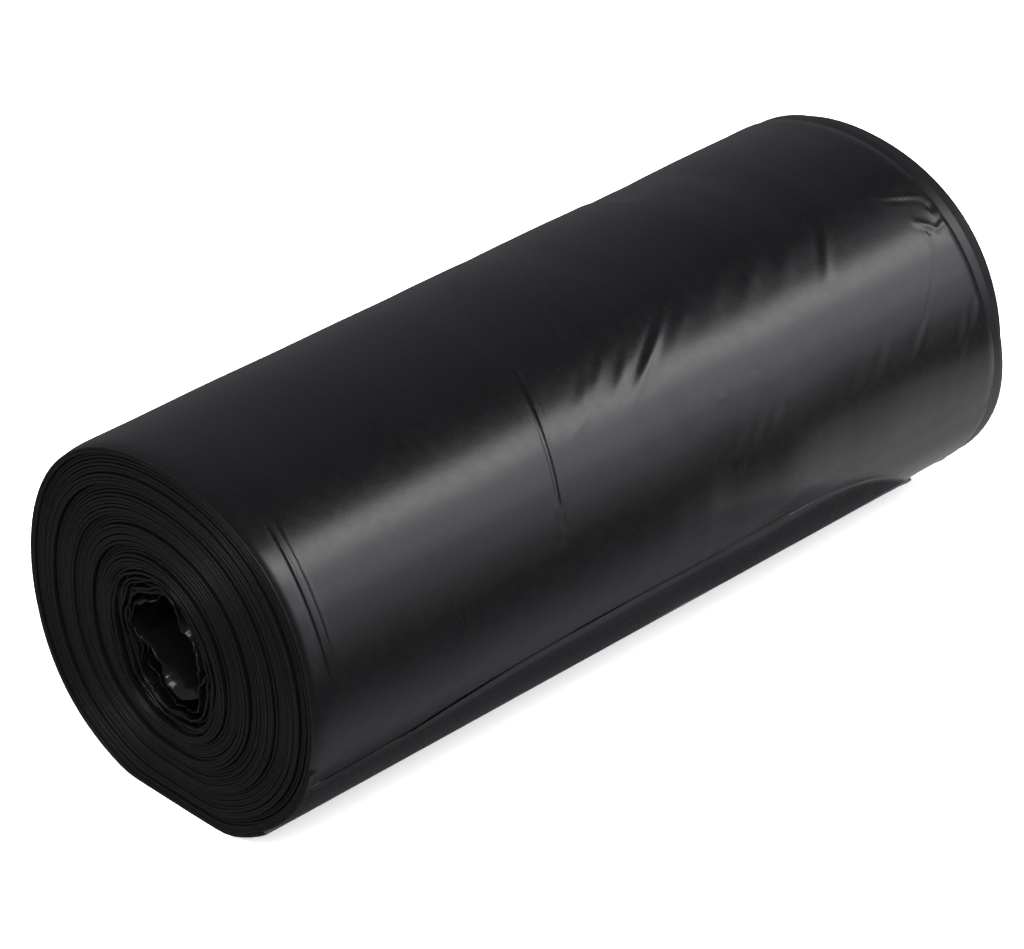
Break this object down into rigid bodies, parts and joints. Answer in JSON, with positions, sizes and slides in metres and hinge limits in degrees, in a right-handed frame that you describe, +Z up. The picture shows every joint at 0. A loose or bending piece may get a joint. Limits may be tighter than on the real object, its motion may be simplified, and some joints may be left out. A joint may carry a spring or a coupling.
{
  "type": "bin bag roll",
  "caption": "Coreless roll of folded black film bags, wound from one web, lying on its side on a small flat spot, with its free edge low on the front and a loose flap across its hollow.",
  "frame": {"origin": "on the surface that the roll rests on, under the middle of the roll", "axes": "+X along the roll away from the end with the view into its turns, +Z up, and the web's free edge low on the -Y side"},
  "size_m": [0.303, 0.1277, 0.1188],
  "materials": {
    "film": "black blown polyethylene film, glossy, with soft creases and stretch marks"
  },
  "bodies": {
    "root": {"bag_roll": "film"}
  },
  "joints": []
}
